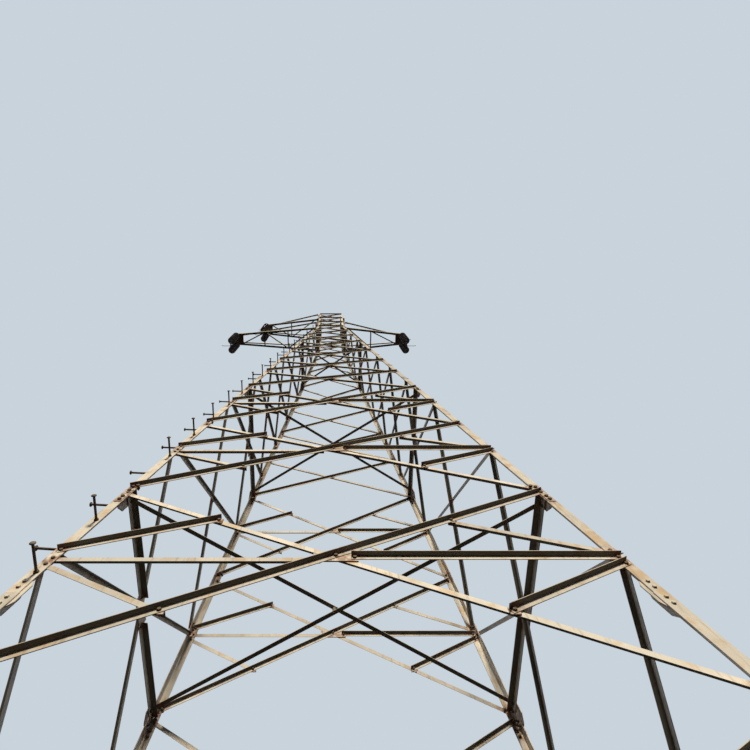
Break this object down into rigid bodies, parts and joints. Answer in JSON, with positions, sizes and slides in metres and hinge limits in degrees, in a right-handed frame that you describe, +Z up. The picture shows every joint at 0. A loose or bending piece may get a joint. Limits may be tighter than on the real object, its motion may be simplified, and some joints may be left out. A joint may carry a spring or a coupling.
{
  "type": "lattice transmission pylon",
  "caption": "Tall tapering steel lattice tower of bolted angle bars, with an upright top, outstretched cross-arms and paired strings of hanging disc insulators.",
  "frame": {"origin": "on the ground, on the tower's centre line between the four feet", "axes": "+Z up the tower, X along the cross-arms with the single short arm at +X, Y along the line it carries"},
  "size_m": [6.727, 3.58, 23.195],
  "materials": {
    "galvanised_steel": "weathered hot-dip galvanised, matt",
    "glazed_porcelain": "brown glaze, glossy"
  },
  "bodies": {
    "tower": {"arm_left_chords": "galvanised_steel", "arm_left_ties": "galvanised_steel", "arm_left_tip": "galvanised_steel", "arm_left_web": "galvanised_steel", "arm_right_chords": "galvanised_steel", "arm_right_ties": "galvanised_steel", "arm_right_tip": "galvanised_steel", "arm_right_web": "galvanised_steel", "arm_upper_chords": "galvanised_steel", "arm_upper_ties": "galvanised_steel", "arm_upper_tip": "galvanised_steel", "arm_upper_web": "galvanised_steel", "back_inner": "galvanised_steel", "back_outer": "galvanised_steel", "back_ties": "galvanised_steel", "base_plates": "galvanised_steel", "cage_inner": "galvanised_steel", "cage_legs": "galvanised_steel", "cage_outer": "galvanised_steel", "cage_root_struts": "galvanised_steel", "cage_ties": "galvanised_steel", "diaphragm_high": "galvanised_steel", "diaphragm_low": "galvanised_steel", "diaphragm_middle": "galvanised_steel", "earth_beam": "galvanised_steel", "earth_clamp": "galvanised_steel", "front_inner": "galvanised_steel", "front_outer": "galvanised_steel", "front_ties": "galvanised_steel", "left_inner": "galvanised_steel", "left_outer": "galvanised_steel", "leg_back_left": "galvanised_steel", "leg_back_right": "galvanised_steel", "leg_front_left": "galvanised_steel", "leg_front_right": "galvanised_steel", "leg_splices": "galvanised_steel", "packing_plates": "galvanised_steel", "right_inner": "galvanised_steel", "right_outer": "galvanised_steel", "step_bolts": "galvanised_steel", "tie_gussets": "galvanised_steel"},
    "set_left": {"insulators_left": "glazed_porcelain", "fittings_left": "galvanised_steel"},
    "set_right": {"insulators_right": "glazed_porcelain", "fittings_right": "galvanised_steel"},
    "set_upper": {"insulators_upper": "glazed_porcelain", "fittings_upper": "galvanised_steel"}
  },
  "joints": [
    {"name": "swing_left", "type": "hinge", "parent": "tower", "child": "set_left", "pos_m": [-3.45, 0, 19.948], "axis": [0, 1, 0], "range_deg": [-30, 30]},
    {"name": "swing_right", "type": "hinge", "parent": "tower", "child": "set_right", "pos_m": [2.6, 0, 19.948], "axis": [0, 1, 0], "range_deg": [-30, 30]},
    {"name": "swing_upper", "type": "hinge", "parent": "tower", "child": "set_upper", "pos_m": [-2.6, 0, 22.028], "axis": [0, 1, 0], "range_deg": [-30, 30]}
  ]
}
